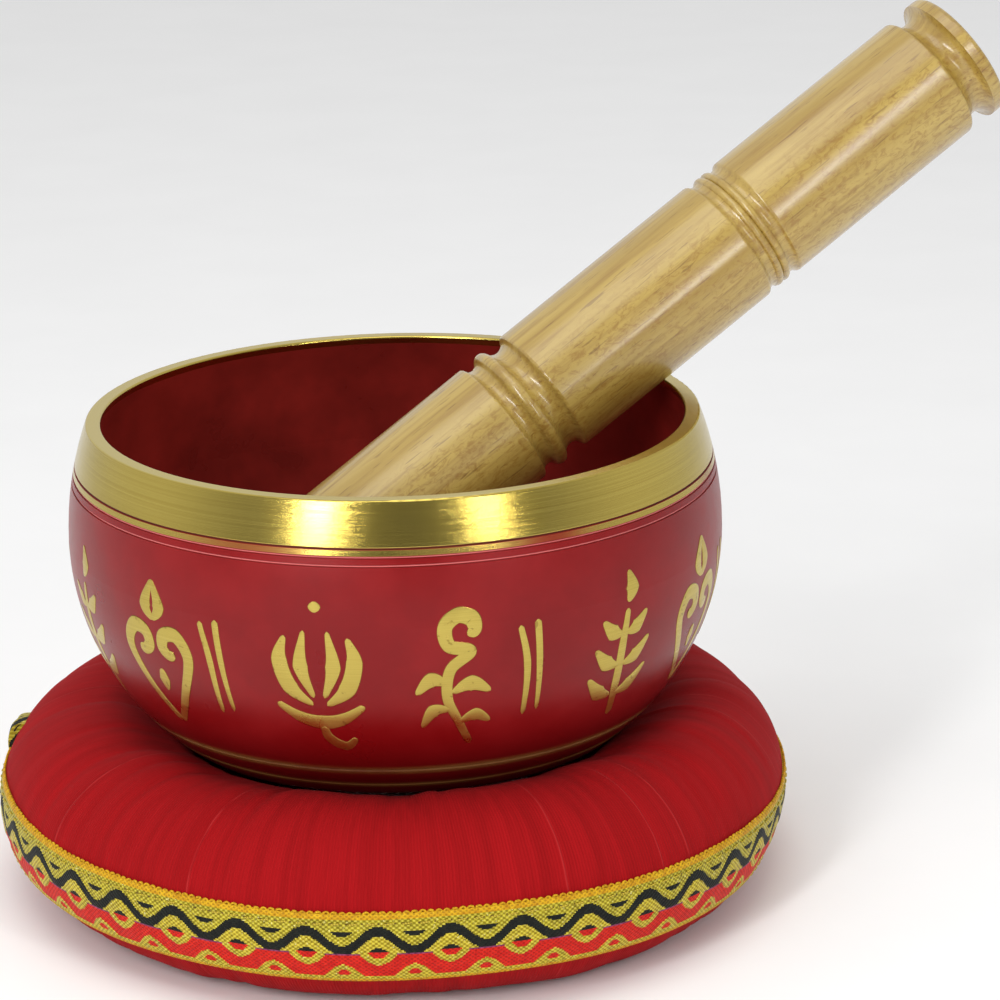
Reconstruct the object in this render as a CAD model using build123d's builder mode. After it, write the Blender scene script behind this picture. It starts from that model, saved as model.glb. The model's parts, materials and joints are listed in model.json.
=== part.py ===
"""Singing bowl on its ring cushion, with the turned wooden mallet leaning in it.

Millimetres, +Z up. The origin is on the floor, on the common axis of the bowl and the cushion.
The mallet leans out over the rim towards +X, turned a little towards +Y.
"""

import os
from math import cos, radians, sin, sqrt, tan

from build123d import *

# ---- Driving dimensions -------------------------------------------------------------------------

# bowl: one brass shell, lacquered red inside and out, with a bare turned band below the rim
rim_radius = 50.0
belly_radius = 53.6
base_radius = 37.3
bowl_height = 52.25
belly_below_rim = 19.4
lip_width = 2.6
wall = 2.4
bowl_floor = 3.0
base_edge_radius = 0.8
inner_floor_radius = 8.0
lip_edge_radius = 0.35

# lines turned into the bowl's outer face: under the bare band and its ring, and near the base
lines_below_rim = (6.95, 8.3, 9.6)
lines_above_base = (2.65, 6.25)
line_width = 0.4
line_depth = 0.2

# cushion: a stuffed ring, flatter below than above
cushion_half_width = 17.2
cushion_crest = 14.7
cushion_seam_height = 15.6
cushion_rest_width = 7.0
cover_thickness = 0.6
seat_angle = 51.0
seat_gap = 0.3

# woven ribbon sewn round the cushion's side, and its folded end
ribbon_bottom = 6.6
ribbon_width = 11.9
ribbon_thickness = 0.6
thread_radius = 0.3
stitch_inset = 1.5
tab_bearing = 171.0
tab_reach = 1.6
tab_height = 5.6
tab_length = 6.0
tab_corner_radius = 0.5

# mallet: one turned piece, described from its striking end
mallet_elevation = 33.0
mallet_bearing = 20.0
mallet_gap = 0.25
head_radius = 11.2
head_length = 66.6
head_end_radius = 3.0
head_shoulder_radius = 0.5
bead_foot_radius = 10.6
lower_cove_length = 2.6
lower_cove_radius = 9.9
lower_bead_length = 2.2
lower_bead_radius = 11.4
upper_cove_length = 3.6
upper_cove_radius = 9.6
grip_radius = 11.3
grip_length = 40.2
grip_end_radius = 0.6
waist_foot_radius = 10.7
waist_cove_length = 1.8
waist_cove_radius = 10.6
waist_bead_length = 1.4
waist_bead_radius = 11.2
handle_length = 38.2
neck_length = 4.6
neck_radius = 9.3
cap_length = 2.4
cap_radius = 11.5
cap_edge_radius = 0.9

# ---- Places worked out from the driving dimensions ----------------------------------------------

# the ring is as wide as makes the bowl's base edge sit on its inner slope at the seat angle
seat_slope = sqrt((cos(radians(seat_angle)) / cushion_half_width) ** 2
                  + (sin(radians(seat_angle)) / cushion_crest) ** 2)
seat_shift_in = seat_gap * cos(radians(seat_angle)) / cushion_half_width / seat_slope
seat_shift_up = seat_gap * sin(radians(seat_angle)) / cushion_crest / seat_slope
ring_radius = base_radius + seat_shift_in + cushion_half_width * cos(radians(seat_angle))
base_height = cushion_seam_height + cushion_crest * sin(radians(seat_angle)) + seat_shift_up

rim_height = base_height + bowl_height
belly_height = rim_height - belly_below_rim
inner_floor_height = base_height + bowl_floor
ribbon_top = ribbon_bottom + ribbon_width


def arc_radius(rise, inset):
    """Radius of the arc that starts upright and ends this far along and this far in."""
    return (rise**2 + inset**2) / (2 * inset)


# the mallet's axis lies in one upright plane through the bowl's axis: its underside clears the
# inner edge of the lip, and the round edge of its striking end clears the bowl's inner floor
lean = radians(mallet_elevation)
lip_inner_radius = rim_radius - lip_width
axis_height = rim_height + (grip_radius + mallet_gap) / cos(lean) - lip_inner_radius * tan(lean)
end_edge_height = inner_floor_height + mallet_gap + head_end_radius
end_edge_height += (head_radius - head_end_radius) * cos(lean)
end_along_axis = (end_edge_height - axis_height) / sin(lean) - head_end_radius

mallet_direction = Vector(
    cos(lean) * cos(radians(mallet_bearing)), cos(lean) * sin(radians(mallet_bearing)), sin(lean)
)
mallet_end = Vector(0, 0, axis_height) + mallet_direction * end_along_axis
mallet_side = Vector(0, 0, 1).cross(mallet_direction).normalized()
mallet_profile_plane = Plane(
    origin=mallet_end, x_dir=mallet_direction.cross(mallet_side), z_dir=mallet_side
)

os.makedirs("parts", exist_ok=True)


def save(part, name):
    """Label a finished piece and write it as one STEP file named after it."""
    part.label = name
    export_step(part, f"parts/{name}.step")


# ---- Bowl ---------------------------------------------------------------------------------------

inner_belly_radius = belly_radius - wall
inner_base_radius = base_radius - wall


def outer_radius_at(height):
    """Radius of the bowl's outer face, which is one arc above the belly and one below it."""
    if height > belly_height:
        bend = arc_radius(belly_below_rim, belly_radius - rim_radius)
    else:
        bend = arc_radius(belly_height - base_height, belly_radius - base_radius)
    return belly_radius - bend + sqrt(bend**2 - (height - belly_height) ** 2)


with BuildPart() as bowl:
    with BuildSketch(Plane.XZ) as bowl_section:
        with BuildLine():
            Line((0, base_height), (base_radius, base_height))
            TangentArc((belly_radius, belly_height), (base_radius, base_height), tangent=(0, -1))
            TangentArc((belly_radius, belly_height), (rim_radius, rim_height), tangent=(0, 1))
            Line((rim_radius, rim_height), (lip_inner_radius, rim_height))
            TangentArc(
                (inner_belly_radius, belly_height), (lip_inner_radius, rim_height), tangent=(0, 1)
            )
            TangentArc(
                (inner_belly_radius, belly_height), (inner_base_radius, inner_floor_height),
                tangent=(0, -1),
            )
            Line((inner_base_radius, inner_floor_height), (0, inner_floor_height))
            Line((0, inner_floor_height), (0, base_height))
        make_face()
        for corner, radius in (
            ((base_radius, base_height), base_edge_radius),
            ((inner_base_radius, inner_floor_height), inner_floor_radius),
            ((lip_inner_radius, rim_height), lip_edge_radius),
            ((rim_radius, rim_height), lip_edge_radius),
        ):
            fillet(bowl_section.vertices().sort_by_distance(corner)[0], radius)
        line_heights = [rim_height - drop for drop in lines_below_rim]
        line_heights += [base_height + rise for rise in lines_above_base]
        for height in line_heights:
            with Locations((outer_radius_at(height), height)):
                Rectangle(2 * line_depth, line_width, mode=Mode.SUBTRACT)
    revolve(axis=Axis.Z)

save(bowl.part, "bowl")

# ---- Cushion ------------------------------------------------------------------------------------

half_rest = cushion_rest_width / 2


def upper_arc(inset):
    """Upper half of the cushion's section, from its outer side over the crest to its inner side."""
    EllipticalCenterArc(
        (ring_radius, cushion_seam_height),
        cushion_half_width - inset, cushion_crest - inset, start_angle=0, arc_size=180,
    )


def lower_arcs(inset):
    """Lower half of the cushion's section: two rounded sides and the strip that rests on the floor."""
    side_width = cushion_half_width - half_rest - inset
    side_height = cushion_seam_height - inset
    for side, start in ((-1, 180), (1, 270)):
        EllipticalCenterArc(
            (ring_radius + side * half_rest, cushion_seam_height), side_width, side_height,
            start_angle=start, arc_size=90,
        )
    Line((ring_radius - half_rest, inset), (ring_radius + half_rest, inset))


def join_ends(outer_inset, inner_inset):
    """Close a cover's section along the seam height, on its outer and inner sides."""
    for side in (-1, 1):
        Line(
            (ring_radius + side * (cushion_half_width - outer_inset), cushion_seam_height),
            (ring_radius + side * (cushion_half_width - inner_inset), cushion_seam_height),
        )


def section_face(inset, mode=Mode.ADD):
    """Whole section of the cushion, moved inwards by the inset."""
    with BuildLine(Plane.XY) as outline:
        upper_arc(inset)
        lower_arcs(inset)
    make_face(outline.edges(), mode=mode)


with BuildPart() as cushion_filling:
    with BuildSketch(Plane.XZ):
        section_face(cover_thickness)
    revolve(axis=Axis.Z)
save(cushion_filling.part, "cushion_filling")

with BuildPart() as cushion_top_cover:
    with BuildSketch(Plane.XZ):
        with BuildLine():
            upper_arc(0)
            upper_arc(cover_thickness)
            join_ends(0, cover_thickness)
        make_face()
    revolve(axis=Axis.Z)
save(cushion_top_cover.part, "cushion_top_cover")

with BuildPart() as cushion_bottom_cover:
    with BuildSketch(Plane.XZ):
        with BuildLine():
            lower_arcs(0)
            lower_arcs(cover_thickness)
            join_ends(0, cover_thickness)
        make_face()
    revolve(axis=Axis.Z)
save(cushion_bottom_cover.part, "cushion_bottom_cover")

# ---- Ribbon and threads -------------------------------------------------------------------------


def side_radius_at(height, outset):
    """Outer radius of the cushion's side, moved outwards by the outset."""
    if height >= cushion_seam_height:
        share = (height - cushion_seam_height) / (cushion_crest + outset)
        return ring_radius + (cushion_half_width + outset) * sqrt(1 - share**2)
    share = (cushion_seam_height - height) / (cushion_seam_height + outset)
    return ring_radius + half_rest + (cushion_half_width - half_rest + outset) * sqrt(1 - share**2)


with BuildPart() as side_ribbon:
    with BuildSketch(Plane.XZ):
        section_face(-ribbon_thickness)
        section_face(0, mode=Mode.SUBTRACT)
        with Locations((ring_radius + cushion_half_width, (ribbon_bottom + ribbon_top) / 2)):
            Rectangle(2 * cushion_half_width, ribbon_width, mode=Mode.INTERSECT)
    revolve(axis=Axis.Z)
save(side_ribbon.part, "side_ribbon")

with BuildPart() as ribbon_stitching:
    with BuildSketch(Plane.XZ):
        for height in (ribbon_bottom + stitch_inset, ribbon_top - stitch_inset):
            with Locations((side_radius_at(height, ribbon_thickness), height)):
                Circle(thread_radius)
        section_face(-ribbon_thickness, mode=Mode.SUBTRACT)
    revolve(axis=Axis.Z)
save(ribbon_stitching.part, "ribbon_stitching")

with BuildPart() as gather_thread:
    with BuildSketch(Plane.XZ):
        with Locations((ring_radius - cushion_half_width, cushion_seam_height)):
            Circle(thread_radius)
        section_face(0, mode=Mode.SUBTRACT)
    revolve(axis=Axis.Z)
save(gather_thread.part, "gather_thread")

# the ribbon's end is folded back on itself and stands up past its upper edge
tab_root_radius = ring_radius + cushion_half_width / 2
tab_tip_radius = ring_radius + cushion_half_width + tab_reach
with BuildPart() as ribbon_end_tab:
    with BuildSketch(Plane.XZ.rotated((0, 0, tab_bearing))) as tab_outline:
        with Locations(((tab_root_radius + tab_tip_radius) / 2, ribbon_top + tab_height / 2)):
            Rectangle(tab_tip_radius - tab_root_radius, tab_height)
        fillet(tab_outline.vertices().group_by(Axis.X)[-1], tab_corner_radius)
    extrude(amount=tab_length / 2, both=True)
    with BuildSketch(Plane.XZ):
        section_face(0)
    revolve(axis=Axis.Z, mode=Mode.SUBTRACT)
save(ribbon_end_tab.part, "ribbon_end_tab")

# ---- Mallet -------------------------------------------------------------------------------------

# each turning is its length, the radius at its middle and the radius at its end
turnings = [
    (head_length, head_radius, head_radius),
    (lower_cove_length, lower_cove_radius, bead_foot_radius),
    (lower_bead_length, lower_bead_radius, bead_foot_radius),
    (upper_cove_length, upper_cove_radius, grip_radius),
    (grip_length, grip_radius, grip_radius),
    (waist_cove_length, waist_cove_radius, waist_foot_radius),
    (waist_bead_length, waist_bead_radius, waist_foot_radius),
    (waist_bead_length, waist_bead_radius, waist_foot_radius),
    (waist_cove_length, waist_cove_radius, grip_radius),
    (handle_length, grip_radius, grip_radius),
    (neck_length, neck_radius, cap_radius),
    (cap_length, cap_radius, cap_radius),
]
mallet_length = sum(length for length, middle, end in turnings)

with BuildPart() as mallet:
    with BuildSketch(mallet_profile_plane) as mallet_section:
        with BuildLine():
            Line((0, 0), (head_radius, 0))
            along, radius = 0.0, head_radius
            for length, middle, end in turnings:
                if radius == middle == end:
                    Line((radius, along), (end, along + length))
                else:
                    ThreePointArc((radius, along), (middle, along + length / 2), (end, along + length))
                along, radius = along + length, end
            Line((radius, along), (0, along))
            Line((0, along), (0, 0))
        make_face()
        grip_start = head_length + lower_cove_length + lower_bead_length + upper_cove_length
        handle_end = mallet_length - cap_length - neck_length
        for place, edge_radius in (
            ((head_radius, 0), head_end_radius),
            ((head_radius, head_length), head_shoulder_radius),
            ((grip_radius, grip_start), grip_end_radius),
            ((grip_radius, grip_start + grip_length), grip_end_radius),
            ((grip_radius, handle_end - handle_length), grip_end_radius),
            ((grip_radius, handle_end), grip_end_radius),
            ((cap_radius, mallet_length), cap_edge_radius),
        ):
            fillet(mallet_section.vertices().sort_by_distance(place)[0], edge_radius)
    revolve(axis=Axis(mallet_end, mallet_direction))
save(mallet.part, "mallet")
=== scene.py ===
"""Looks of the singing bowl on its ring cushion, with the wooden mallet leaning in it.

Metres, +Z up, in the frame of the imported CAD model. Lengths named with _mm are millimetres.
The bowl and the mallet are the CAD nodes with procedural materials; the cushion's covers, the woven
ribbon, its loops, stitches and folded end, and the bowl's ornaments are meshes made here.
"""

import json
import math

import bpy
import numpy as np
from mathutils import Matrix, Vector


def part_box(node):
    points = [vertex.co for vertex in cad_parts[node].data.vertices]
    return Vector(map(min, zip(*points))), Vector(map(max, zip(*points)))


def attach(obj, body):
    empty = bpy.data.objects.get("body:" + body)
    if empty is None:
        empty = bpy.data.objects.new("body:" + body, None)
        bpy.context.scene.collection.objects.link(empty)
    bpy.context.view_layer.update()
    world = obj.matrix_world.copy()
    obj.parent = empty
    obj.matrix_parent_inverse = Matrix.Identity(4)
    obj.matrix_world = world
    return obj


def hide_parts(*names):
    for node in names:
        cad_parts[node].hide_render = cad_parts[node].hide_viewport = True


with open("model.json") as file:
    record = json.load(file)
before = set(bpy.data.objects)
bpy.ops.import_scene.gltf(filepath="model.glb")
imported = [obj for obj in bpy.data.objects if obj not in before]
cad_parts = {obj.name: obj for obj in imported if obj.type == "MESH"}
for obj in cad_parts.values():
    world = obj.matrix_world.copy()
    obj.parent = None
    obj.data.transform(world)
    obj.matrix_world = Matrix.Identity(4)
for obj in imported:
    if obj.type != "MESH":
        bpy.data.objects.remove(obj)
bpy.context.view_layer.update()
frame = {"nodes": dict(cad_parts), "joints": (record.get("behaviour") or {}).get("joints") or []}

MM = 0.001
TURN = 2 * math.pi
rng = np.random.default_rng(7)

# ---- Places read from the frame ------------------------------------------------------------------

bowl_low, bowl_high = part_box("bowl")
top_low, top_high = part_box("cushion_top_cover")
ribbon_low, ribbon_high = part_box("side_ribbon")
thread_low, thread_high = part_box("gather_thread")
stitch_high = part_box("ribbon_stitching")[1]
tab_low, tab_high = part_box("ribbon_end_tab")

# what a box can't give is repeated from the CAD source
rim_radius_mm = 50.0
base_radius_mm = 37.3
belly_below_rim_mm = 19.4
half_width_mm = 17.2
half_rest_mm = 3.5
seat_degrees = 180 - 51
stitch_radius_mm = 0.3

rim_mm = bowl_high.z / MM
base_mm = bowl_low.z / MM
belly_radius_mm = bowl_high.x / MM
belly_mm = rim_mm - belly_below_rim_mm

seam_mm = top_low.z / MM
crest_mm = top_high.z / MM - seam_mm
cushion_radius_mm = top_high.x / MM
ring_radius_mm = cushion_radius_mm - half_width_mm

ribbon_bottom_mm = ribbon_low.z / MM
ribbon_top_mm = ribbon_high.z / MM
ribbon_width_mm = ribbon_top_mm - ribbon_bottom_mm
ribbon_radius_mm = ribbon_high.x / MM
ribbon_thickness_mm = ribbon_radius_mm - cushion_radius_mm

# the mallet's own directions: along it, across it, and up from its underside
mallet_axis = Vector(next(j["axis"] for j in frame["joints"] if j["name"] == "mallet_draw"))
mallet_side = Vector((0, 0, 1)).cross(mallet_axis).normalized()
mallet_up = mallet_axis.cross(mallet_side)


def outer_radius_mm(height_mm):
    """Radius of the bowl's outer face: one arc above the belly and one below it."""
    height_mm = np.asarray(height_mm, float)
    radius = np.zeros_like(height_mm)
    for edge_mm, edge_radius, chosen in (
        (rim_mm, rim_radius_mm, height_mm > belly_mm),
        (base_mm, base_radius_mm, height_mm <= belly_mm),
    ):
        rise, inset = edge_mm - belly_mm, belly_radius_mm - edge_radius
        bend = (rise**2 + inset**2) / (2 * inset)
        away = np.clip((height_mm - belly_mm) / bend, -1, 1)
        radius[chosen] = (belly_radius_mm - bend + bend * np.sqrt(1 - away**2))[chosen]
    return radius


# ---- Mesh helpers --------------------------------------------------------------------------------


def make_piece(name, points_mm, faces, materials, body, material_of_face=None):
    """A smooth-shaded mesh object from points in millimetres, riding on a body."""
    mesh = bpy.data.meshes.new(name)
    mesh.from_pydata((np.asarray(points_mm) * MM).tolist(), [], np.asarray(faces).tolist())
    for material in materials:
        mesh.materials.append(material)
    if material_of_face is not None:
        mesh.polygons.foreach_set("material_index", np.asarray(material_of_face, np.int32))
    mesh.polygons.foreach_set("use_smooth", np.full(len(mesh.polygons), True))
    mesh.update()
    piece = bpy.data.objects.new(name, mesh)
    bpy.context.scene.collection.objects.link(piece)
    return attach(piece, body)


def grid_faces(rows, columns, close_rows=False, close_columns=False):
    """Quads of a grid whose point number is row * columns + column."""
    row = np.arange(rows if close_rows else rows - 1)
    column = np.arange(columns if close_columns else columns - 1)
    r, c = (a.ravel() for a in np.meshgrid(row, column, indexing="ij"))
    r2, c2 = (r + 1) % rows, (c + 1) % columns
    return np.stack([r * columns + c, r * columns + c2, r2 * columns + c2, r2 * columns + c], 1)


def around(radius_mm, azimuth, height_mm):
    """Points at a radius and height, at an azimuth measured from the front towards +X."""
    radius_mm, azimuth, height_mm = np.broadcast_arrays(radius_mm, azimuth, height_mm)
    return np.stack([radius_mm * np.sin(azimuth), -radius_mm * np.cos(azimuth), height_mm], -1)


def smooth_step(value, low, high):
    """0 up to low, 1 from high on, and a smooth rise between them."""
    share = np.clip((value - low) / (high - low), 0, 1)
    return share * share * (3 - 2 * share)


def curve_through(points, count):
    """Catmull-Rom curve through a few points, sampled evenly in its parameter."""
    points = np.asarray(points, float)
    padded = np.vstack([2 * points[0] - points[1], points, 2 * points[-1] - points[-2]])
    spans = len(points) - 1
    place = np.linspace(0, spans, count)
    span = np.minimum(place.astype(int), spans - 1)
    f = (place - span)[:, None]
    a, b, c, d = padded[span], padded[span + 1], padded[span + 2], padded[span + 3]
    return 0.5 * (2 * b + (c - a) * f + (2 * a - 5 * b + 4 * c - d) * f**2
                  + (3 * b - 3 * c + d - a) * f**3)


def tube(centres, radius, sides, across, closed=False):
    """Points and faces of a tube along 3-D centres; across is a direction never along the tube."""
    centres = np.asarray(centres, float)
    if closed:
        along = np.roll(centres, -1, 0) - np.roll(centres, 1, 0)
    else:
        along = np.gradient(centres, axis=0)
    along /= np.linalg.norm(along, axis=1)[:, None]
    side = np.cross(along, across)
    side /= np.linalg.norm(side, axis=1)[:, None]
    up = np.cross(side, along)
    angle = np.arange(sides) * TURN / sides
    radius = np.broadcast_to(radius, len(centres))[:, None, None]
    points = centres[:, None] + radius * (side[:, None] * np.cos(angle)[None, :, None]
                                          + up[:, None] * np.sin(angle)[None, :, None])
    return points.reshape(-1, 3), grid_faces(len(centres), sides, closed, True)


def join(groups):
    """Several (points, faces) groups as one."""
    points, faces, start = [], [], 0
    for group_points, group_faces in groups:
        points.append(group_points)
        faces.append(group_faces + start)
        start += len(group_points)
    return np.vstack(points), np.vstack(faces)


# ---- Shader helpers ------------------------------------------------------------------------------


def colour(red, green, blue):
    """A linear colour from display values of 0 to 255."""
    def linear(v):
        v /= 255
        return v / 12.92 if v <= 0.04045 else ((v + 0.055) / 1.055) ** 2.4
    return (linear(red), linear(green), linear(blue), 1.0)


class Shader:
    """A procedural material under construction: each method adds a node and returns its output."""

    def __init__(self, name):
        self.material = bpy.data.materials.new(name)
        self.material.use_nodes = True
        self.tree = self.material.node_tree
        self.surface = self.tree.nodes["Principled BSDF"]
        coordinates = self.tree.nodes.new("ShaderNodeTexCoord")
        self.place = coordinates.outputs["Object"]
        self.normal = coordinates.outputs["Normal"]

    def feed(self, socket, value):
        if isinstance(value, bpy.types.NodeSocket):
            self.tree.links.new(value, socket)
        else:
            socket.default_value = value

    def math(self, operation, *values, clamp=False):
        node = self.tree.nodes.new("ShaderNodeMath")
        node.operation, node.use_clamp = operation, clamp
        for socket, value in zip(node.inputs, values):
            self.feed(socket, value)
        return node.outputs[0]

    def dot(self, vector, direction):
        node = self.tree.nodes.new("ShaderNodeVectorMath")
        node.operation = "DOT_PRODUCT"
        self.feed(node.inputs[0], vector)
        self.feed(node.inputs[1], direction)
        return node.outputs["Value"]

    def split(self, vector):
        node = self.tree.nodes.new("ShaderNodeSeparateXYZ")
        self.feed(node.inputs[0], vector)
        return node.outputs

    def vector(self, x, y, z):
        node = self.tree.nodes.new("ShaderNodeCombineXYZ")
        for socket, value in zip(node.inputs, (x, y, z)):
            self.feed(socket, value)
        return node.outputs[0]

    def noise(self, vector, scale, detail=2.0, roughness=0.5, distortion=0.0):
        node = self.tree.nodes.new("ShaderNodeTexNoise")
        self.feed(node.inputs["Vector"], vector)
        for name, value in (("Scale", scale), ("Detail", detail), ("Roughness", roughness),
                            ("Distortion", distortion)):
            node.inputs[name].default_value = value
        return node.outputs["Fac"]

    def span(self, value, low, high, to_low=0.0, to_high=1.0):
        """The value mapped from one range to another, smoothly and clamped."""
        node = self.tree.nodes.new("ShaderNodeMapRange")
        node.interpolation_type = "SMOOTHSTEP"
        for socket, given in zip(node.inputs, (value, low, high, to_low, to_high)):
            self.feed(socket, given)
        return node.outputs["Result"]

    def within(self, value, low, high, soft):
        """1 where the value lies between low and high, with soft edges."""
        rising = self.span(value, low - soft, low + soft)
        falling = self.span(value, high - soft, high + soft, 1.0, 0.0)
        return self.math("MULTIPLY", rising, falling)

    def mix(self, factor, first, second):
        node = self.tree.nodes.new("ShaderNodeMix")
        node.data_type = "RGBA"
        self.feed(node.inputs["Factor"], factor)
        self.feed(node.inputs[6], first)
        self.feed(node.inputs[7], second)
        return node.outputs[2]

    def bump(self, height, distance_mm, strength, under=None):
        """A normal tilted by the height; under is a coarser bump that it adds to."""
        node = self.tree.nodes.new("ShaderNodeBump")
        node.inputs["Strength"].default_value = strength
        node.inputs["Distance"].default_value = distance_mm * MM
        self.feed(node.inputs["Height"], height)
        if under is not None:
            self.feed(node.inputs["Normal"], under)
        return node.outputs[0]

    def finish(self, **sockets):
        for name, value in sockets.items():
            self.feed(self.surface.inputs[name.replace("_", " ")], value)
        return self.material

    def height(self):
        return self.split(self.place)[2]

    def azimuth(self):
        """The bearing from the front towards +X, in radians."""
        x, y = self.split(self.place)[:2]
        return self.math("ARCTAN2", x, self.math("MULTIPLY", y, -1.0))

    def radius(self):
        x, y = self.split(self.place)[:2]
        square = self.math("ADD", self.math("MULTIPLY", x, x), self.math("MULTIPLY", y, y))
        return self.math("SQRT", square)


# ---- Materials -----------------------------------------------------------------------------------

BRASS_LIGHT = colour(200, 180, 94)
BRASS_DARK = colour(176, 153, 72)
LACQUER = colour(120, 6, 9)
# the darkest red is painted shade, laid on the bowl's lower part
LACQUER_PAINTED_SHADE = colour(82, 5, 7)
LACQUER_LIGHT = colour(134, 14, 17)

# the bowl's markings: where each begins or ends, as drops from the rim in millimetres
lip_end_mm = 0.36
band_end_mm = 6.9
groove_mm = (6.9, 7.14)
ring_mm = (7.2, 8.05)
fine_lines_mm = ((8.22, 8.38), (9.5, 9.68))
base_lines_mm = ((45.3, 46.7), (49.2, 50.2))
# from where the red begins to be painted darker towards the base, as painted shade, to where it is
# darkest
painted_shade_mm = (32.0, 50.0)


def brushed(shader):
    """Fine lines left by the lathe, round the axis, as a value from 0 to 1."""
    slow_turn = shader.math("MULTIPLY", shader.azimuth(), 0.35)
    fast_climb = shader.math("MULTIPLY", shader.height(), 14000.0)
    return shader.noise(shader.vector(slow_turn, fast_climb, shader.radius()), 1.0, 3.0, 0.7)


def bowl_material():
    shader = Shader("bowl_finish")
    height = shader.height()
    drop = shader.math("MULTIPLY", shader.math("SUBTRACT", rim_mm * MM, height), 1 / MM)
    # on the outer face the level part of the normal points away from the axis
    facing = shader.dot(shader.normal, shader.place)
    normal_z = shader.split(shader.normal)[2]
    sideways = shader.math("SUBTRACT", facing, shader.math("MULTIPLY", normal_z, height))
    outer = shader.math("GREATER_THAN", sideways, 0.003)
    inner = shader.math("SUBTRACT", 1.0, outer)
    lines = brushed(shader)
    patches = shader.noise(shader.place, 55.0, 4.0, 0.6)
    # bare brass: the turned band, the lip, and a thin strip inside it
    band = shader.math("MULTIPLY", outer,
                       shader.span(drop, band_end_mm - 0.08, band_end_mm + 0.08, 1.0, 0.0))
    inside_edge = shader.math("ADD", 1.15, shader.math("MULTIPLY", patches, 0.5))
    strip = shader.math("MULTIPLY", inner, shader.math("LESS_THAN", drop, inside_edge))
    lip = shader.math("LESS_THAN", drop, lip_end_mm)
    # the thin ring below the band, which paint hides in places
    slow_turn = shader.math("MULTIPLY", shader.azimuth(), 1.3)
    bared = shader.span(shader.noise(shader.vector(slow_turn, 0.0, 4.0), 1.0, 1.0), 0.36, 0.52)
    ring = shader.math("MULTIPLY", shader.within(drop, *ring_mm, 0.05), bared)
    # two worn lines near the base
    base_lines = shader.math("ADD", shader.within(drop, *base_lines_mm[0], 0.45),
                             shader.within(drop, *base_lines_mm[1], 0.4))
    worn = shader.math("MULTIPLY", base_lines, shader.span(patches, 0.3, 0.62, 0.03, 0.2))
    ring_or_line = shader.math("MULTIPLY", outer, shader.math("ADD", ring, worn, clamp=True))
    bare = shader.math("MAXIMUM", shader.math("MAXIMUM", band, strip),
                       shader.math("MAXIMUM", lip, ring_or_line))
    # colours
    brass = shader.mix(shader.span(lines, 0.3, 0.7), BRASS_DARK, BRASS_LIGHT)
    outside = shader.mix(shader.span(patches, 0.35, 0.7), LACQUER, LACQUER_LIGHT)
    # painted shade: the red darkens towards the base
    outside = shader.mix(shader.span(drop, *painted_shade_mm), outside, LACQUER_PAINTED_SHADE)
    # the fine lines below the band are light in their own colour, and painted lighter still to outshine
    # the shade in their grooves: partly own colour, partly painted light
    fine = shader.math("ADD", shader.within(drop, *fine_lines_mm[0], 0.06),
                       shader.within(drop, *fine_lines_mm[1], 0.07))
    outside = shader.mix(shader.math("MULTIPLY", fine, 0.9), outside, colour(226, 120, 118))
    # the inside red is greyer and lighter than the lacquer outside: partly its own red, partly a
    # painted haze of reflected light
    inside = shader.mix(shader.span(patches, 0.1, 0.95), colour(98, 24, 20), colour(156, 40, 34))
    red = shader.mix(inner, outside, inside)
    base = shader.mix(bare, red, brass)
    groove = shader.math("MULTIPLY", outer, shader.within(drop, *groove_mm, 0.05))
    base = shader.mix(shader.math("MULTIPLY", groove, 0.8), base, colour(70, 38, 16))
    # gloss and relief
    brass_rough = shader.span(lines, 0.25, 0.75, 0.13, 0.24)
    red_rough = shader.span(patches, 0.3, 0.7, 0.27, 0.36)
    rough = shader.math("ADD", shader.math("MULTIPLY", bare, brass_rough),
                        shader.math("MULTIPLY", shader.math("SUBTRACT", 1.0, bare), red_rough))
    relief = shader.bump(lines, 0.02, 0.6)
    relief = shader.bump(shader.noise(shader.place, 900.0, 3.0), 0.02, 0.35, under=relief)
    relief = shader.bump(patches, 0.3, 0.25, under=relief)
    return shader.finish(Base_Color=base, Metallic=bare, Roughness=rough, Normal=relief,
                         Specular_IOR_Level=0.24)


def brass_material(name, dark=0.0):
    """The ornaments' brass, darkened by a share towards a red brown."""
    shader = Shader(name)
    lines = brushed(shader)
    patches = shader.noise(shader.place, 260.0, 3.0)
    brass = shader.mix(shader.span(lines, 0.3, 0.7), BRASS_DARK, BRASS_LIGHT)
    spots = shader.span(shader.noise(shader.place, 700.0, 2.0), 0.66, 0.72, 0.0, 0.5)
    brass = shader.mix(spots, brass, colour(120, 92, 40))
    base = shader.mix(dark, brass, colour(96, 40, 22))
    rough = shader.span(patches, 0.3, 0.7, 0.26, 0.4)
    return shader.finish(Base_Color=base, Metallic=1.0, Roughness=rough,
                         Normal=shader.bump(lines, 0.01, 0.4))


# where the wood's curly figure, and the painted shade it brings, begins to fade and where it is gone,
# in metres across the mallet
figure_shade_full_at, figure_shade_gone_at = 0.052, 0.060


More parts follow.
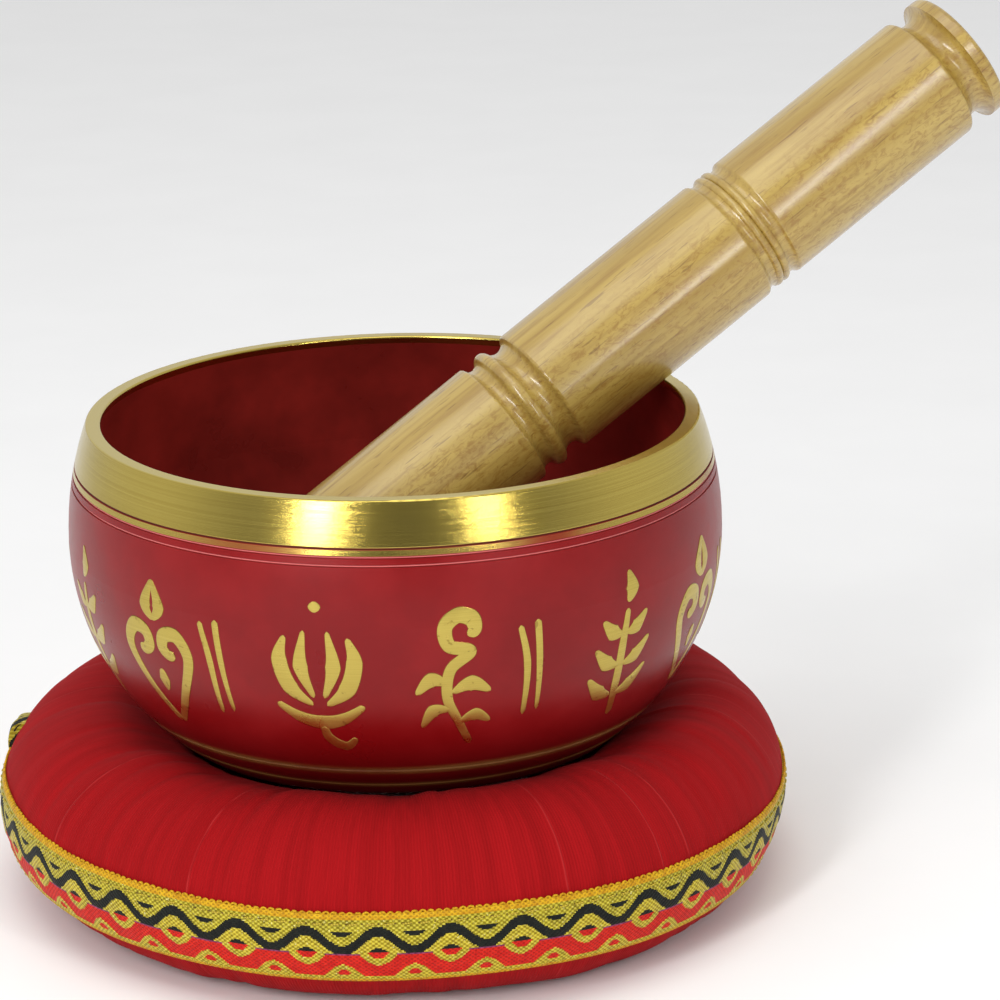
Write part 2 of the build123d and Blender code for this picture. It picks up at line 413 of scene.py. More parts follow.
def wood_material():
    """Pale turned wood with a clear coat, its grain running along the mallet."""
    shader = Shader("mallet_wood")
    along = shader.dot(shader.place, tuple(mallet_axis))
    side = shader.dot(shader.place, tuple(mallet_side))
    up = shader.dot(shader.place, tuple(mallet_up))
    # straight grain, pores and broad colour bands
    grain = shader.noise(shader.vector(shader.math("MULTIPLY", along, 0.045), side, up),
                         900.0, 4.0, 0.65, 0.3)
    bands = shader.noise(shader.vector(shader.math("MULTIPLY", along, 0.1), side, up),
                         130.0, 3.0, 0.55, 0.6)
    pores = shader.noise(shader.vector(shader.math("MULTIPLY", along, 0.07), side, up),
                         2600.0, 1.0, 0.5)
    # curly figure, on the side that faces away from the light, where its dark marks also paint that
    # side darker: partly real figure, partly painted shade
    figure = shader.noise(shader.vector(shader.math("MULTIPLY", along, 0.8), side,
                                        shader.math("MULTIPLY", up, 1.6)), 620.0, 3.0, 0.7, 1.2)
    lower = shader.span(shader.math("ADD", up, shader.math("MULTIPLY", side, 0.55)),
                        figure_shade_full_at, figure_shade_gone_at, 1.0, 0.0)
    pale = shader.mix(shader.span(bands, 0.3, 0.7), colour(162, 132, 56), colour(188, 160, 80))
    wood = shader.mix(shader.span(grain, 0.42, 0.72, 0.0, 0.55), pale, colour(136, 98, 36))
    figure_and_painted_shade = shader.math("MULTIPLY", shader.span(figure, 0.46, 0.66), lower)
    # the figure's dark marks, on the shaded side only: real figure and painted shade
    wood = shader.mix(shader.math("MULTIPLY", figure_and_painted_shade, 0.6), wood, colour(140, 98, 28))
    dashes = shader.span(pores, 0.66, 0.72)
    wood = shader.mix(shader.math("MULTIPLY", dashes, 0.5), wood, colour(108, 72, 28))
    rough = shader.span(grain, 0.3, 0.7, 0.34, 0.46)
    relief = shader.bump(grain, 0.02, 0.4)
    relief = shader.bump(dashes, 0.03, -0.5, under=relief)
    return shader.finish(Base_Color=wood, Roughness=rough, Normal=relief,
                         Coat_Weight=0.8, Coat_Roughness=0.19)


# bearings of the sharp fold edges, in degrees from the front, and half their width in radians
ridge_bearings = (-148, -97, -58, -31, 23, 39, 44.5, 78, 85, 131, 168)
ridge_half = 0.0022
# how fast the ribs and stitches alternate round the cushion, in radians of their wave per radian,
# and the height of two rows of stitches
rib_rate = 760.0
stitch_rate = 460.0
stitch_height_mm = 0.72


def cotton_material():
    """Ribbed cotton: ribs run from the hole to the ribbon, with slubs along them."""
    shader = Shader("red_cotton_weave")
    wander = shader.noise(shader.place, 90.0, 2.0)
    turned = shader.math("ADD", shader.azimuth(), shader.math("MULTIPLY", wander, 0.012))
    ribs = shader.math("SINE", shader.math("MULTIPLY", turned, rib_rate))
    rib_share = shader.span(ribs, -1.0, 1.0)
    climb = shader.math("ADD", shader.radius(), shader.height())
    slubs = shader.noise(shader.vector(shader.math("MULTIPLY", turned, 21.0),
                                       shader.math("MULTIPLY", climb, 60.0), 0.0), 1.0, 3.0, 0.65)
    fine_slubs = shader.noise(shader.vector(shader.math("MULTIPLY", turned, 210.0),
                                            shader.math("MULTIPLY", climb, 240.0), 3.0),
                              1.0, 2.0, 0.6)
    fuzz = shader.noise(shader.place, 3600.0, 2.0)
    base = shader.mix(shader.span(slubs, 0.25, 0.75), colour(142, 7, 12), colour(162, 12, 18))
    base = shader.mix(shader.span(fine_slubs, 0.5, 0.85, 0.0, 0.35), base, colour(184, 22, 28))
    # the valleys between the ribs are painted a darker red: painted shade
    base = shader.mix(shader.math("MULTIPLY", shader.math("SUBTRACT", 1.0, rib_share), 0.14),
                      base, colour(104, 5, 10))
    # thin pale lines along the edges where folds are pressed sharp, broken by the slubs: a painted
    # highlight where those edges catch the light
    ridge_highlight_mask = 0.0
    for bearing in ridge_bearings:
        middle = math.radians(bearing)
        ridge = shader.within(turned, middle - ridge_half, middle + ridge_half, ridge_half)
        ridge_highlight_mask = shader.math("ADD", ridge_highlight_mask, ridge)
    ridge_highlight_mask = shader.math("MULTIPLY", ridge_highlight_mask, shader.span(fine_slubs, 0.3, 0.55))
    # a pale red painted along the fold edges: painted highlight
    base = shader.mix(shader.math("MULTIPLY", ridge_highlight_mask, 0.35), base, colour(206, 62, 62))
    relief = shader.bump(rib_share, 0.07, 0.7)
    relief = shader.bump(ridge_highlight_mask, 0.16, 0.6, under=relief)
    relief = shader.bump(fuzz, 0.05, 0.5, under=relief)
    relief = shader.bump(fine_slubs, 0.1, 0.3, under=relief)
    return shader.finish(Base_Color=base, Roughness=0.86, Normal=relief, Sheen_Weight=0.03,
                         Sheen_Roughness=0.5, Sheen_Tint=(0.95, 0.2, 0.2, 1.0),
                         Specular_IOR_Level=0.12)


def yarn_material(name, dark, light, metal=0.0, gloss=0.6, sparkle=0.0):
    """One yarn of the ribbon: a check of small raised stitches, with a little colour variation, painted
    shade in the dips of the check, and painted highlights on the stitches' tops and in glints.
    """
    shader = Shader(name)
    up_wave = shader.math("MULTIPLY", shader.height(), TURN / (stitch_height_mm * MM))
    round_wave = shader.math("MULTIPLY", shader.azimuth(), stitch_rate)
    check = shader.math("MULTIPLY", shader.math("SINE", up_wave), shader.math("SINE", round_wave))
    weave = shader.span(check, -0.8, 0.8)
    uneven = shader.noise(shader.place, 900.0, 3.0, 0.6)
    base = shader.mix(shader.span(uneven, 0.3, 0.7), dark, light)
    # painted shade: a darker copy of the yarn for the dips of the check
    shadow = tuple(0.3 * channel for channel in dark[:3]) + (1.0,)
    base = shader.mix(shader.span(weave, 0.5, 0.0, 0.0, 0.5), base, shadow)
    # the stitches' raised tops painted towards a pale gold, as much as the yarn's sparkle: painted
    # highlight
    base = shader.mix(shader.span(weave, 0.6, 0.95, 0.0, 0.7 * sparkle), base, colour(238, 226, 96))
    glint = shader.noise(shader.place, 2600.0, 1.0)
    rough = shader.span(glint, 0.55, 0.75, gloss, gloss - 0.35 * sparkle)
    # painted glints of pale light where the glint noise is high, as much as the yarn's sparkle
    base = shader.mix(shader.span(glint, 0.66, 0.78, 0.0, sparkle), base, colour(250, 240, 170))
    relief = shader.bump(weave, 0.1, 0.8)
    relief = shader.bump(glint, 0.06, 0.5, under=relief)
    return shader.finish(Base_Color=base, Metallic=metal, Roughness=rough, Normal=relief,
                         Specular_IOR_Level=0.2)


def thread_material(name, dark, light):
    """Sewing thread: slanting plies with painted shade in the grooves between them, lighter where it is
    fuzzy.
    """
    shader = Shader(name)
    slant = shader.math("ADD", shader.math("MULTIPLY", shader.azimuth(), 900.0),
                        shader.math("MULTIPLY", shader.height(), 9000.0))
    ply = shader.span(shader.math("SINE", slant), -1.0, 1.0)
    fuzz = shader.noise(shader.place, 2400.0, 2.0)
    # the dark colour lies in the grooves between the plies: painted shade
    base = shader.mix(ply, dark, light)
    base = shader.mix(shader.span(fuzz, 0.4, 0.8, 0.0, 0.4), base, light)
    return shader.finish(Base_Color=base, Roughness=0.7, Normal=shader.bump(ply, 0.06, 0.7))


cotton = cotton_material()
brass_stroke = brass_material("brass_ornament")
brass_edge = brass_material("brass_ornament_edge", 0.75)
ORANGE, GREEN, GOLD, BLACK, RED, MAUVE, SHADE = range(7)
yarns = [
    yarn_material("yarn_orange", colour(190, 136, 14), colour(218, 172, 26)),
    yarn_material("yarn_green_gold", colour(140, 126, 16), colour(182, 166, 34), 0.1, 0.45, 0.6),
    yarn_material("yarn_gold", colour(158, 138, 22), colour(198, 176, 40), 0.1, 0.45, 0.6),
    yarn_material("yarn_black", colour(9, 12, 8), colour(24, 28, 20)),
    yarn_material("yarn_red", colour(192, 20, 10), colour(216, 36, 20)),
    yarn_material("yarn_mauve", colour(112, 40, 76), colour(150, 70, 110)),
    yarn_material("yarn_shade", colour(92, 72, 22), colour(120, 98, 34)),
]
gold_thread = thread_material("gold_stitch", colour(150, 130, 24), colour(200, 176, 46))
red_thread = thread_material("red_stitch", colour(120, 10, 20), colour(190, 30, 44))

# ---- Bowl and mallet: the CAD nodes with their finishes --------------------------------------------


def dress(node, material):
    """A CAD node keeps its mesh and gets a procedural material."""
    shown = frame["nodes"][node]
    shown.data.materials.clear()
    shown.data.materials.append(material)


dress("bowl", bowl_material())
dress("mallet", wood_material())

# ---- Ornaments on the bowl -------------------------------------------------------------------------

ornament_centre_mm = rim_mm - 28.0
# every stroke's width is multiplied by this
boldness = 1.15
# across a stroke: the share of its half width, and the lift off the lacquer in millimetres
stroke_profile = ((-1.0, -0.04), (-0.9, 0.03), (-0.8, 0.045), (0.0, 0.05), (0.8, 0.045),
                  (0.9, 0.03), (1.0, -0.04))


def stroke(points, widths, bearing):
    """A brush stroke lying on the bowl: points (across, up) and widths in mm, round at both ends."""
    steps_per_span = 16
    count = steps_per_span * (len(points) - 1) + 1
    line = curve_through(points, count)
    even, given = np.linspace(0, 1, count), np.linspace(0, 1, len(widths))
    width = boldness * np.interp(even, given, widths) / 2
    step = np.gradient(line, axis=0)
    length = np.linalg.norm(step, axis=1)
    step /= length[:, None]
    travelled = np.concatenate([[0], np.cumsum((length[1:] + length[:-1]) / 2)])
    end = np.minimum(travelled, travelled[-1] - travelled)
    width = width * np.sqrt(1 - (1 - np.clip(end / np.maximum(width, 0.05), 0.02, 1)) ** 2)
    side = np.stack([-step[:, 1], step[:, 0]], 1)
    across, lift = np.array(stroke_profile).T
    flat = line[:, None] + side[:, None] * (width[:, None] * across)[..., None]
    height = ornament_centre_mm + flat[..., 1]
    radius = outer_radius_mm(height)
    azimuth = math.radians(bearing) + flat[..., 0] / belly_radius_mm
    points_mm = around(radius + lift, azimuth, height)
    return points_mm.reshape(-1, 3), grid_faces(count, len(stroke_profile))


def curl(centre, start, end, first_angle, turns, count=7):
    """Points of a spiral about a centre, from a start radius to an end radius, angles in degrees."""
    share = np.linspace(0, 1, count)
    angle = np.radians(first_angle) + turns * TURN * share
    radius = start + (end - start) * share
    return [(centre[0] + r * math.cos(a), centre[1] + r * math.sin(a)) for a, r in zip(angle, radius)]


def mirrored(strokes):
    """Strokes turned over, left for right."""
    return [([(-x, y) for x, y in points], widths) for points, widths in strokes]


# four motifs, of strokes as (points, widths): a tendril, a lotus, a sprig of leaves and a pair of
# curls under a bud
tendril = [
    (curl((0.9, 8.0), 3.8, 1.3, -75, -0.95)[::-1] + [(-1.2, 1.4), (-1.6, -3.4), (0.2, -7.6),
     (2.8, -12.6)], (1.6, 2.5, 2.2, 1.9, 1.6, 1.1)),
    ([(-1.6, -1.0), (-4.2, -0.2), (-6.6, -2.6)], (0.8, 2.6, 0.8)),
    ([(-1.2, -5.6), (-3.8, -5.8), (-5.6, -8.8)], (0.8, 2.3, 0.7)),
    ([(-0.9, -2.6), (2.2, -1.2), (5.4, -2.8)], (0.8, 2.7, 0.8)),
    ([(0.6, -8.2), (3.2, -7.0), (5.8, -8.4)], (0.8, 2.2, 0.7)),
]
petal = ([(1.2, -4.6), (4.6, -1.6), (6.0, 3.2), (5.0, 7.2)], (0.8, 2.6, 2.4, 0.7))
inner_petal = ([(0.9, -3.2), (2.6, 2.2), (1.9, 8.2)], (0.7, 2.3, 0.6))
lotus = [
    petal, inner_petal, *mirrored([petal, inner_petal]),
    ([(-7.2, -4.6), (-3.6, -7.0), (0.0, -7.8), (3.6, -7.0), (7.2, -4.6)], (1.0, 2.0, 2.5, 2.0, 1.0)),
    ([(0.0, -8.6), (0.8, -11.0), (3.4, -12.4), (5.4, -10.8)], (1.2, 1.7, 1.6, 1.0)),
    ([(0.0, 11.2), (0.05, 12.9)], (1.9, 1.9)),
]
leaf = ([(0.5, 0.0), (3.0, 0.9), (5.6, 3.6)], (0.7, 2.6, 0.7))


def moved(strokes, up, share):
    """Strokes made smaller and moved up."""
    return [([(share * x, share * y + up) for x, y in points], widths) for points, widths in strokes]


sprig = [([(1.4, -12.8), (0.2, -7.0), (-0.2, 0.0), (0.4, 6.4)], (1.3, 1.7, 1.6, 1.0)),
         ([(0.4, 7.4), (1.3, 9.6), (0.6, 12.6)], (0.8, 2.7, 0.6))]
for leaf_height, leaf_share in ((-8.6, 1.15), (-3.2, 1.05), (2.2, 0.85)):
    sprig += moved([leaf, *mirrored([leaf])], leaf_height, leaf_share)
half_curl = ([(0.2, -12.4), (3.6, -7.2), (6.4, -1.4)] + curl((3.4, 1.6), 3.2, 1.0, 0, 0.85, 6),
             (1.2, 1.8, 2.4, 2.2, 1.6))
curls = [
    half_curl, *mirrored([half_curl]),
    ([(0.0, 5.8), (1.5, 8.2), (0.0, 12.4)], (0.8, 2.4, 0.7)),
    ([(0.0, 5.8), (-1.5, 8.2), (0.0, 12.4)], (0.8, 2.4, 0.7)),
    ([(0.0, -6.6), (0.05, -2.6)], (0.8, 2.2, 1.0)),
]
pair_of_lines = [
    ([(-1.9, 7.6), (-0.6, 1.0), (-0.4, -8.2)], (0.9, 1.15, 0.8)),
    ([(1.0, 8.2), (1.5, 1.2), (2.0, -7.6)], (1.1, 1.05, 0.7)),
]

# pairs of lines part the motifs; the front ones are wider apart than those behind
pair_bearings = (-88.4, -33.0, 22.4, 77.8, 126.2, 174.6, 223.1, 271.6)
motifs = (tendril, sprig, curls, lotus)
# where the two motifs stand between two pairs of lines, as shares of the way
first_share, second_share = 0.345, 0.77
ornament_parts = []
for place, (bearing, following) in enumerate(zip(pair_bearings, pair_bearings[1:])):
    motif_bearings = [bearing + share * (following - bearing) for share in (first_share, second_share)]
    drawn = [(bearing, pair_of_lines),
             (motif_bearings[0], motifs[(2 * place + 1) % len(motifs)]),
             (motif_bearings[1], motifs[(2 * place + 2) % len(motifs)])]
    for motif_bearing, strokes in drawn:
        ornament_parts += [stroke(points, widths, motif_bearing) for points, widths in strokes]
ornament_points, ornament_faces = join(ornament_parts)
# the outermost faces of each stroke have the darker brass
faces_across = len(stroke_profile) - 1
face_across = np.arange(len(ornament_faces)) % faces_across
edge_of_stroke = np.isin(face_across, (0, faces_across - 1)).astype(int)
ornaments = make_piece("bowl_ornaments", ornament_points, ornament_faces,
                       [brass_stroke, brass_edge], "bowl", edge_of_stroke)

# ---- Cushion covers --------------------------------------------------------------------------------

# bumps on the plain ring: bearing from the front, half width in degrees, and height in millimetres
# swells raise the crest; side_swells move the side outwards, or inwards where they are negative
swells = ((-128, 40, 2.2), (118, 38, 1.2), (40, 34, 0.2))
side_swells = ((72, 34, -2.1), (-128, 32, 2.4), (-84, 24, 0.8))
# the crest's swells fade between these angles of the section, before the bowl's seat
swell_fade_degrees = (88, seat_degrees - 10)
# the gathers' depth as a share of what they are drawn with, and how much of it the bowl presses out
gather_share = 0.85
pressed_share = 0.75
seat_spread_degrees = 11
cover_columns = 900
crease_count = 120
# depth and width in millimetres, reach as a share of the way to the ribbon, bend in radians,
# lean as how lopsided a fold is
creases = {
    "azimuth": np.sort(rng.uniform(0, TURN, crease_count)),
    "depth": rng.uniform(0.12, 0.85, crease_count) ** 1.3,
    "width": rng.uniform(0.9, 5.0, crease_count),
    "reach": rng.uniform(0.25, 1.0, crease_count),
    "bend": rng.normal(0, 0.05, crease_count),
    "lean": rng.uniform(-1, 1, crease_count),
}


def bulge(azimuth, bumps):
    """The sum of smooth bumps, each a bearing, a half width in degrees and a height."""
    bearing = np.degrees(azimuth)
    return sum(height * np.exp(-(((bearing - place + 180) % 360 - 180) / width) ** 2)
               for place, width, height in bumps)


def cushion_surface(angle):
    """Radius and height in mm of the plain ring's section: angle 0 outside, 90 on top, 180 inside."""
    upper = np.sin(angle) >= 0
    across = np.cos(angle)
    # the lower half has a flat in its middle, on which the ring rests
    radius = np.where(upper, half_width_mm * across,
                      half_rest_mm * np.sign(across) * np.minimum(1, np.abs(across) * 12)
                      + (half_width_mm - half_rest_mm) * across)
    height = np.where(upper, crest_mm, seam_mm) * np.sin(angle)
    return ring_radius_mm + radius, seam_mm + height


def crease_depth(azimuth, angle):
    """How far the cloth is drawn in by the gathers: deep in the hole, fading towards the ribbon."""
    # 0 in the hole and 1 at the ribbon
    outward = np.abs(angle - math.pi) / math.pi
    radius = cushion_surface(angle)[0]
    depth = np.zeros_like(radius)
    for place, deep, width, reach, bend, lean in zip(*creases.values()):
        away = (azimuth - place - bend * outward + math.pi) % TURN - math.pi
        away = away * radius / width
        own_fade = 1 - smooth_step(outward, 0.12, 0.25 + 0.75 * reach)
        fade = 0.3 * (1 - smooth_step(outward, 0.75, 0.98)) + 0.7 * own_fade
        fold = np.exp(-np.abs(away) ** 1.5) + 0.45 * lean * away * np.exp(-(away**2) / 2.5)
        depth += deep * fade * fold
    return depth


def cushion_points(azimuth, angle):
    """The cover with its gathers, its swells and the lumps of its stuffing."""
    radius, height = cushion_surface(angle)
    # the gathers are pressed flatter where the bowl sits
    pressed = np.exp(-(((np.degrees(angle) - seat_degrees) / seat_spread_degrees) ** 2))
    depth = gather_share * crease_depth(azimuth, angle) * (1 - pressed_share * pressed)
    lumps = 0.16 * np.sin(5 * azimuth + 1.1) * np.sin(angle) + 0.12 * np.sin(11 * azimuth + 3 * angle)
    lumps = lumps * (1 - pressed)
    radius = radius - (depth - lumps) * np.cos(angle)
    height = height - (depth - lumps) * np.sin(angle)
    radius = radius + bulge(azimuth, side_swells) * smooth_step(np.cos(angle), 0, 1)
    outside_seat = 1 - smooth_step(np.degrees(angle), *swell_fade_degrees)
    swell = bulge(azimuth, swells) * np.clip(np.sin(angle), 0, 1) ** 1.5
    height = height + swell * outside_seat
    return around(radius, azimuth, np.maximum(height, 0.0))


def cover(name, first_angle, last_angle, rows):
    """One padded cover of the ring, between two angles of its section in degrees."""
    azimuth = np.arange(cover_columns) * TURN / cover_columns
    angle = np.radians(np.linspace(first_angle, last_angle, rows))
    azimuth, angle = np.meshgrid(azimuth, angle)
    points = cushion_points(azimuth, angle)
    faces = grid_faces(rows, cover_columns, close_columns=True)[:, ::-1]
    piece = make_piece(name, points.reshape(-1, 3), faces, [cotton], "cushion")
    return piece


cushion_top = cover("cushion_top", 0, 180, 96)
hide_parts("cushion_top_cover", "cushion_filling")
cushion_bottom = cover("cushion_bottom", 180, 360, 84)
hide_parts("cushion_bottom_cover")

# ---- Woven ribbon ----------------------------------------------------------------------------------

repeats = 37
# bearing of one crest of the ribbon's wave, in degrees from the front
crest_bearing = 25.3
cells_per_repeat = 40
cell_rows = 44
dots_per_repeat = 9
# how far the ribbon's ground and its sewn edges stand out from the cushion, and its soft puffs
ground_mm = 0.62 * ribbon_thickness_mm
edge_mm = -0.1
puff_mm = 0.05
# how far each yarn stands out from the ground
relief_mm = {ORANGE: 0.1, GREEN: 0.0, GOLD: 0.12, BLACK: 0.08, RED: 0.0, MAUVE: 0.02, SHADE: -0.08}


def ribbon_yarn(u, v):
    """Which yarn shows at u, in repeats from a wave's crest, and v, the share from the top down."""
    # from the nearest crest of the wave, and from the nearest trough
    aside = np.abs((u + 0.5) % 1 - 0.5)
    inward = 0.5 - aside
    wave = 0.36 - 0.135 * np.cos(TURN * u)
    yarn = np.full(u.shape, GREEN)
    below = v > wave
    yarn[below] = GOLD
    yarn[v > 0.555] = RED
    # rounded diamonds under the crests, each with a hole
    diamond = (np.abs(v - 0.53) / 0.2) ** 1.5 + (aside / 0.27) ** 1.5 < 1
    yarn[diamond & below] = GOLD
    hole = (np.abs(v - 0.535) / 0.085) ** 1.5 + (aside / 0.15) ** 1.5 < 1
    yarn[hole] = RED
    yarn[hole & (v < 0.52)] = BLACK
    yarn[(np.abs(v - 0.56) < 0.012) & (inward < 0.24)] = MAUVE
    # the black wave, and a small wedge above each trough
    yarn[np.abs(v - wave) < 0.058 + 0.022 * np.abs(np.sin(TURN * u))] = BLACK
    yarn[(v > 0.22) & (v < 0.29) & (inward < 0.17 - 1.6 * np.abs(v - 0.23))] = BLACK
    # domes under the troughs, each with a red mark, then both edges and a row of dots
    dome = v > 0.71 + 0.19 * (inward / 0.28) ** 1.6
    yarn[dome & (inward < 0.28)] = GOLD
    yarn[(v > 0.8) & (v < 0.885) & (inward < 0.11 - 1.2 * np.abs(v - 0.85))] = RED
    yarn[v > 0.9] = GOLD
    yarn[v > 0.945] = ORANGE
    yarn[v < 0.07] = ORANGE
    dot = (np.abs(v - 0.125) < 0.012) & ((u * dots_per_repeat) % 1 < 0.3)
    yarn[dot] = SHADE
    return yarn


def side_radius_mm(height_mm, azimuth):
    """Radius of the cushion's side under the ribbon."""
    share = (height_mm - seam_mm) / np.where(height_mm > seam_mm, crest_mm, seam_mm)
    flat = np.where(height_mm > seam_mm, 0.0, half_rest_mm)
    across = np.sqrt(1 - share**2)
    swell = bulge(azimuth, side_swells) * smooth_step(across, 0, 1)
    return ring_radius_mm + flat + (half_width_mm - flat) * across + swell


def ribbon_sway(azimuth):
    """How far the sewn ribbon wanders up and down as it goes round, in mm: up at the left side."""
    tilt = -1.2 * np.sin(azimuth) ** 3
    return tilt + 0.22 * np.sin(3 * azimuth + 0.6) + 0.12 * np.sin(8 * azimuth)


def make_ribbon():
    """The woven ribbon round the cushion: a grid of cells, each raised and coloured by its yarn."""
    columns = repeats * cells_per_repeat
    azimuth = np.arange(columns) * TURN / columns + math.radians(crest_bearing)
    share = np.linspace(0, 1, cell_rows + 1)
    u = ((np.arange(columns) + 0.5) / cells_per_repeat)[None].repeat(cell_rows, 0)
    v = ((np.arange(cell_rows) + 0.5) / cell_rows)[:, None].repeat(columns, 1)
    yarn = ribbon_yarn(u, v)
    cell_height = np.vectorize(relief_mm.get)(yarn)
    padded = np.vstack([cell_height[:1], cell_height, cell_height[-1:]])
    corner = (padded[:-1] + padded[1:]) / 2
    corner = (corner + np.roll(corner, 1, 1)) / 2
    puff = puff_mm * np.sin(np.pi * share)[:, None] * np.sin(repeats * 2 * azimuth)[None]
    # one more row of points along each edge goes in to the cushion
    edge = np.full(columns, edge_mm)
    outset = np.vstack([edge, ground_mm + corner + puff, edge])
    share_all = np.concatenate([[0.0], share, [1.0]])
    height = ribbon_top_mm - share_all[:, None] * ribbon_width_mm + ribbon_sway(azimuth)[None]
    points = around(side_radius_mm(height, azimuth[None]) + outset, azimuth[None], height)
    faces = grid_faces(cell_rows + 3, columns, close_columns=True)
    orange_row = np.full((1, columns), ORANGE)
    yarn_all = np.vstack([orange_row, yarn, orange_row])
    return make_piece("woven_ribbon", points.reshape(-1, 3), faces, yarns, "cushion", yarn_all.ravel())


ribbon = make_ribbon()
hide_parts("side_ribbon")


def make_loops():
    """Small loops of orange yarn along the ribbon's upper edge."""
    count = repeats * dots_per_repeat
    foot_mm = ribbon_top_mm - 0.1
    lift_mm, yarn_mm, widening = 0.3, 0.19, 1.25
    turn = np.radians(np.linspace(-15, 195, 7))
    groups = []
    for place in range(count):
        middle = place * TURN / count
        size = 0.36 + 0.05 * math.sin(7.3 * place)
        azimuth = middle + size * widening * np.cos(turn) / ribbon_radius_mm
        height = foot_mm + size * np.sin(turn) + ribbon_sway(azimuth)
        centre = around(side_radius_mm(height, azimuth) + lift_mm, azimuth, height)
        groups.append(tube(centre, yarn_mm, 6, around(1.0, middle, 0.0)))
    points, faces = join(groups)
    return make_piece("ribbon_edge_loops", points, faces, [yarns[ORANGE]], "cushion")


loops = make_loops()


def make_stitches():
    """Two rows of running stitches that hold the ribbon on the cushion."""
    per_row, length_mm, rise_mm, slant_mm, thread_mm = 150, 1.7, 0.12, 0.1, 0.13
    lower_mm = ribbon_bottom_mm + 0.6
    upper_mm = stitch_high.z / MM - stitch_radius_mm
    along = np.linspace(-1, 1, 7)
    lift = ground_mm + rise_mm * (1 - along**4)
    thick = thread_mm * np.sqrt(np.clip(1 - along**6, 0.03, 1))
    groups = []
    for level in (lower_mm, upper_mm):
        for place in range(per_row):
            middle = place * TURN / per_row
            azimuth = middle + along * length_mm / 2 / ribbon_radius_mm
            height = level + slant_mm * along + ribbon_sway(azimuth)
            centre = around(side_radius_mm(height, azimuth) + lift, azimuth, height)
            groups.append(tube(centre, thick, 6, (0, 0, 1)))
    points, faces = join(groups)
    return make_piece("ribbon_stitches", points, faces, [gold_thread], "cushion")


stitches = make_stitches()
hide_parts("ribbon_stitching")


def make_tab():
    """The ribbon's end, folded over on itself and standing up past the ribbon's upper edge."""
    rows, columns, side_columns, half_width = 41, 22, 8, 2.8
    centre = (tab_low + tab_high) / 2 / MM
    azimuth = math.atan2(centre.x, -centre.y)
    sway = float(ribbon_sway(azimuth))
    root, top = tab_low.z / MM + sway, tab_high.z / MM + sway - 1.0
    outer = float(side_radius_mm(np.array(root), azimuth)) + 0.6
    path = curve_through([(outer - 0.2, root - 1.2), (outer, root + 1.0), (outer - 0.2, top - 2.2),
                          (outer - 0.7, top - 0.8), (outer - 1.6, top - 0.1), (outer - 3.0, top + 0.1),
                          (outer - 4.4, top - 0.2)], rows)
    across = np.linspace(-half_width, half_width, columns)
    # the fold is a little wavy across its width
    radius = path[:, 0][:, None] + 0.15 * np.sin(1.3 * across)[None]
    height = path[:, 1][:, None] + 0.1 * np.cos(across)[None]
    fold = around(radius, azimuth + across[None] / outer, height)
    # the pattern runs on along the fold for most of a repeat, seen from part of the way down
    along = np.linspace(0, 0.9, rows - 1)
    down = (across[1:] + across[:-1]) / 2 / ribbon_width_mm + 0.3
    groups = [(fold.reshape(-1, 3), grid_faces(rows, columns))]
    shown_yarn = [ribbon_yarn(*np.meshgrid(along, down, indexing="ij")).ravel()]
    # two flat sides close it: the folded layers' edges, from the fold in to the cushion
    depth = np.linspace(0, 1, side_columns)
    side_yarn = ribbon_yarn(*np.meshgrid(along, 0.13 + 0.3 * depth[1:], indexing="ij")).ravel()
    side_faces = grid_faces(rows, side_columns)
    for column, faces in ((0, side_faces[:, ::-1]), (columns - 1, side_faces)):
        rim_radius, rim_height = radius[:, column][:, None], height[:, column][:, None]
        inner = np.minimum(side_radius_mm(rim_height, azimuth) - 0.3, rim_radius - 0.05)
        side = around(rim_radius + depth[None] * (inner - rim_radius),
                      azimuth + across[column] / outer, rim_height)
        groups.append((side.reshape(-1, 3), faces))
        shown_yarn.append(side_yarn)
    points, faces = join(groups)
    return make_piece("folded_ribbon_end", points, faces, yarns, "cushion", np.concatenate(shown_yarn))


tab = make_tab()
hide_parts("ribbon_end_tab")


def make_gather_thread():
    """The thread that draws both covers together round the hole, two plies twisted."""
    count, twists, offset_mm, thread_mm = 1200, 110, 0.13, 0.15
    radius = thread_high.x / MM - 0.25
    height = (thread_low.z + thread_high.z) / 2 / MM
    azimuth = np.arange(count) * TURN / count
    groups = []
    for ply in (0, math.pi):
        twist = azimuth * twists + ply
        centre = around(radius + offset_mm * np.cos(twist), azimuth, height + offset_mm * np.sin(twist))
        groups.append(tube(centre, thread_mm, 6, (0, 0, 1), closed=True))
    points, faces = join(groups)
    return make_piece("gather_thread_twist", points, faces, [red_thread], "cushion")


gathering = make_gather_thread()
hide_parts("gather_thread")

# ---- Floor, lights, world and camera ---------------------------------------------------------------


def make_floor():
    """A pale matt floor, a hair below the cushion, so that the two faces don't share a plane."""
    half_size, count, drop = 3.0, 13, 0.00005
    line = np.linspace(-half_size, half_size, count)
    x, y = np.meshgrid(line, line)
    points = np.stack([x, y, np.full_like(x, -drop)], -1).reshape(-1, 3)
    mesh = bpy.data.meshes.new("floor")
    mesh.from_pydata(points.tolist(), [], grid_faces(count, count).tolist())
    shader = Shader("pale_floor")
    grain = shader.noise(shader.place, 30.0, 3.0)
    base = shader.mix(grain, colour(246, 246, 246), colour(251, 251, 251))
    mesh.materials.append(shader.finish(Base_Color=base, Roughness=0.8))
    floor = bpy.data.objects.new("floor", mesh)
    bpy.context.scene.collection.objects.link(floor)


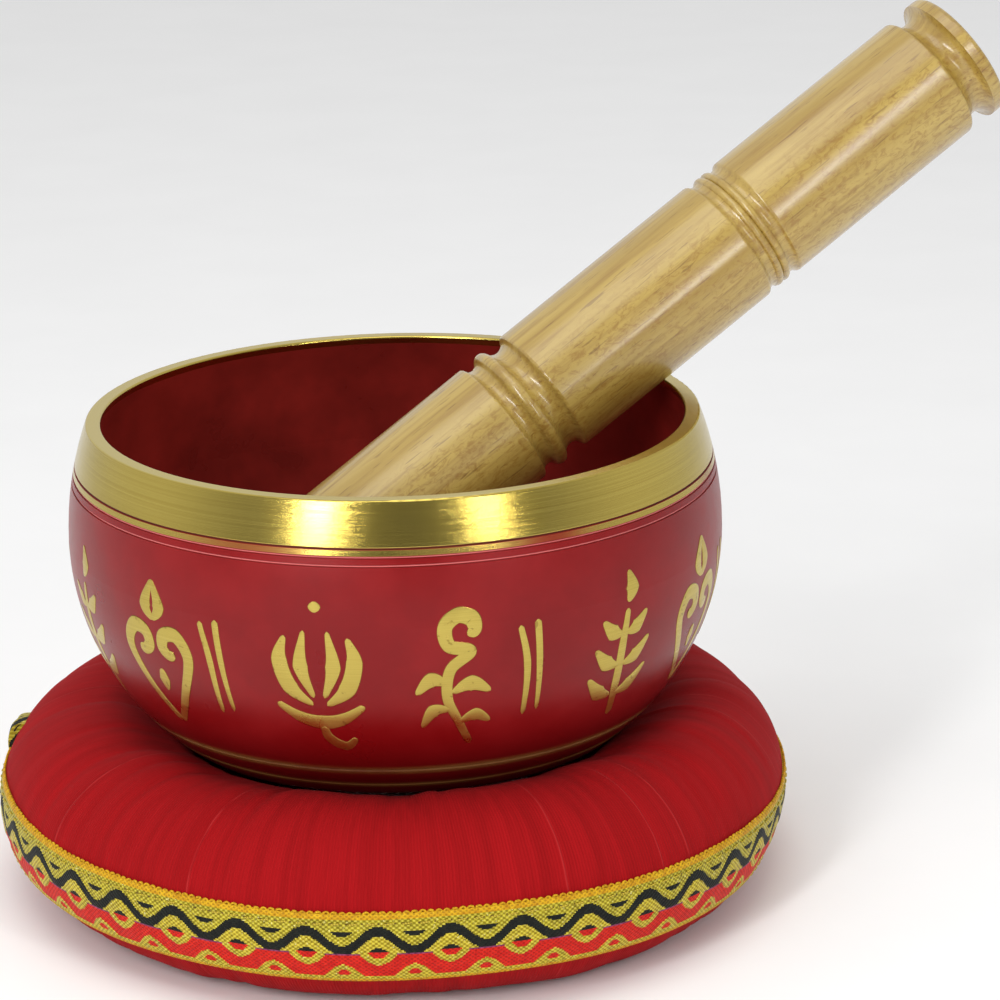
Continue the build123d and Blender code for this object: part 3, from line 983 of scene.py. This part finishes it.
def add_light(name, bearing, elevation, distance, width, height, power):
    """A soft panel that looks at the bowl: angles in degrees, lengths in metres, power in watts."""
    light = bpy.data.lights.new(name, "AREA")
    light.shape, light.size, light.size_y, light.energy = "RECTANGLE", width, height, power
    panel = bpy.data.objects.new(name, light)
    target = Vector((0, 0, 0.06))
    b, e = math.radians(bearing), math.radians(elevation)
    away = Vector((math.sin(b) * math.cos(e), -math.cos(b) * math.cos(e), math.sin(e)))
    panel.location = target + away * distance
    panel.rotation_euler = away.to_track_quat("Z", "Y").to_euler()
    bpy.context.scene.collection.objects.link(panel)


def make_world():
    """A pale room, darker towards the front, where the photographer stands."""
    grey_until, pale_from, front_grey = -0.95, 0.1, 0.25
    world = bpy.data.worlds.new("studio")
    world.use_nodes = True
    tree = world.node_tree
    place = tree.nodes.new("ShaderNodeTexCoord")
    parts = tree.nodes.new("ShaderNodeSeparateXYZ")
    tree.links.new(place.outputs["Generated"], parts.inputs[0])
    shade = tree.nodes.new("ShaderNodeMapRange")
    shade.interpolation_type = "SMOOTHSTEP"
    for socket, value in zip(shade.inputs[1:5], (grey_until, pale_from, front_grey, 1.0)):
        socket.default_value = value
    tree.links.new(parts.outputs["Y"], shade.inputs[0])
    background = tree.nodes["Background"]
    tree.links.new(shade.outputs["Result"], background.inputs["Color"])
    background.inputs["Strength"].default_value = 0.8
    bpy.context.scene.world = world


def make_camera():
    """The photo's view: place in metres and angles in radians, fitted to the object's ellipses."""
    place = Vector((0, -0.628313, 0.25749))
    pitch, yaw, roll = 0.298984, 0.0273556, -0.0190462
    forward = Vector((math.sin(yaw) * math.cos(pitch), math.cos(yaw) * math.cos(pitch),
                      -math.sin(pitch)))
    right = Vector((math.cos(yaw), -math.sin(yaw), 0))
    up = right.cross(forward)
    x_axis = math.cos(roll) * right + math.sin(roll) * up
    y_axis = -math.sin(roll) * right + math.cos(roll) * up
    camera = bpy.data.objects.new("camera", bpy.data.cameras.new("camera"))
    camera.data.lens, camera.data.sensor_width = 144.0, 36.0
    axes = Matrix((x_axis, y_axis, -forward)).transposed()
    camera.matrix_world = Matrix.Translation(place) @ axes.to_4x4()
    bpy.context.scene.collection.objects.link(camera)
    bpy.context.scene.camera = camera


make_floor()
make_world()
add_light("left_panel", -27, 25, 0.75, 0.085, 0.42, 2.6)
add_light("right_panel", 32, 22, 0.75, 0.035, 0.36, 1.1)
add_light("overhead", -20, 72, 1.0, 0.7, 0.7, 3.2)
make_camera()
bpy.context.scene.view_settings.view_transform = "Standard"
